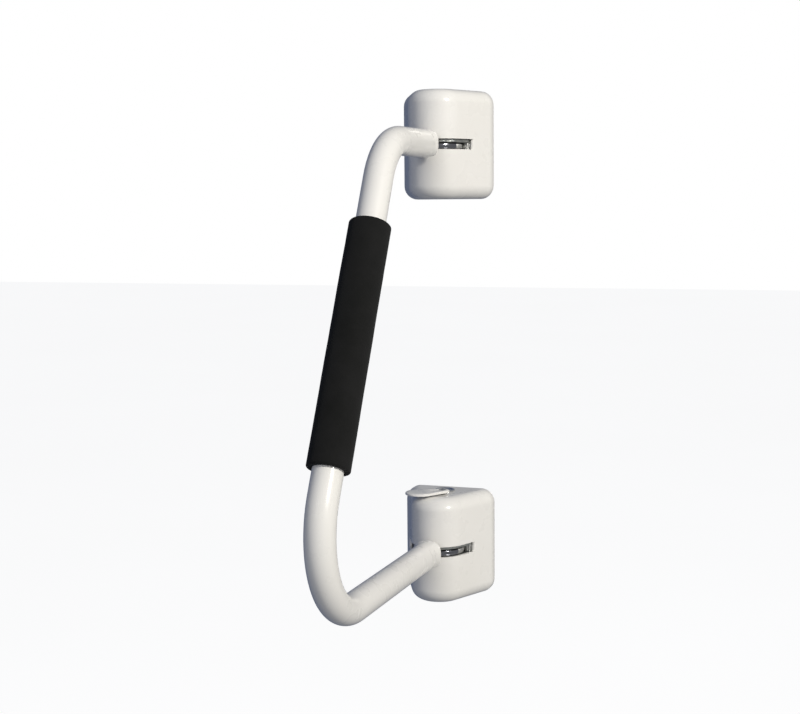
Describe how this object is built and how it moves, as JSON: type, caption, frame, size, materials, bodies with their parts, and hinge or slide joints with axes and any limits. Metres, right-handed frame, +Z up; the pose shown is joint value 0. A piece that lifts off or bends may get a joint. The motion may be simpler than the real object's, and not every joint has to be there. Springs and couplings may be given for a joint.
{
  "type": "swing-away entrance rail",
  "caption": "Bent white grab rail with a black foam grip, swinging between two D-shaped wall housings, the lower one with a key lock under a swivel cover.",
  "frame": {"origin": "centre of the lower housing's back face, on the wall", "axes": "+Y into the wall, +Z up along the pivot axis, so the rail stands out towards -Y"},
  "size_m": [0.0856, 0.3428, 0.472],
  "materials": {
    "white_paint": "gloss warm white powder coat",
    "foam": "matt closed-cell foam",
    "chrome": "polished chrome plate",
    "zinc_steel": "bright zinc plate",
    "nylon": "natural moulded nylon",
    "gasket_rubber": "matt sheet rubber"
  },
  "bodies": {
    "wall_unit": {"upper_housing": "white_paint", "lower_housing": "white_paint", "upper_gasket": "gasket_rubber", "lower_gasket": "gasket_rubber", "upper_bracket": "zinc_steel", "lower_bracket": "zinc_steel", "upper_pivot_pin": "zinc_steel", "lower_pivot_pin": "zinc_steel", "upper_circlip": "zinc_steel", "lower_circlip": "zinc_steel", "upper_screw_left": "zinc_steel", "upper_screw_right": "zinc_steel", "lower_screw_left": "zinc_steel", "lower_screw_right": "zinc_steel", "lock_body": "chrome", "lock_nut": "zinc_steel", "lock_cover_screw": "zinc_steel", "upper_spacer_left": "chrome", "upper_spacer_right": "chrome", "lower_spacer_left": "chrome", "lower_spacer_right": "chrome"},
    "handle": {"handle_tube": "white_paint", "foam_grip": "foam", "upper_end_cap": "white_paint", "lower_end_cap": "white_paint", "upper_hub": "chrome", "lower_hub": "chrome", "upper_bush_top": "nylon", "upper_bush_bottom": "nylon", "lower_bush_top": "nylon", "lower_bush_bottom": "nylon"},
    "lock_cover": {"lock_cover": "white_paint"},
    "lock_plug": {"lock_plug": "chrome", "lock_cam_sleeve": "zinc_steel"},
    "lock_bolt": {"lock_bolt": "zinc_steel", "lock_cross_pin": "zinc_steel"}
  },
  "joints": [
    {"name": "handle_swing", "type": "hinge", "parent": "wall_unit", "child": "handle", "pos_m": [0, -0.04, 0], "axis": [0, 0, 1], "range_deg": [-90, 90]},
    {"name": "cover_swivel", "type": "hinge", "parent": "wall_unit", "child": "lock_cover", "pos_m": [0.003, -0.03873, 0.0505], "axis": [0, 0, 1], "range_deg": [-121.8, 0]},
    {"name": "key_turn", "type": "hinge", "parent": "wall_unit", "child": "lock_plug", "pos_m": [0, -0.022, 0.04], "axis": [0, 0, 1], "range_deg": [0, 90]},
    {"name": "bolt_travel", "type": "slide", "parent": "wall_unit", "child": "lock_bolt", "axis": [0, 0, 1], "range_m": [-0.006, 0]}
  ],
  "couplings": [
    {"joint": "key_turn", "follows": "bolt_travel", "rad_per_m": -261.79}
  ]
}
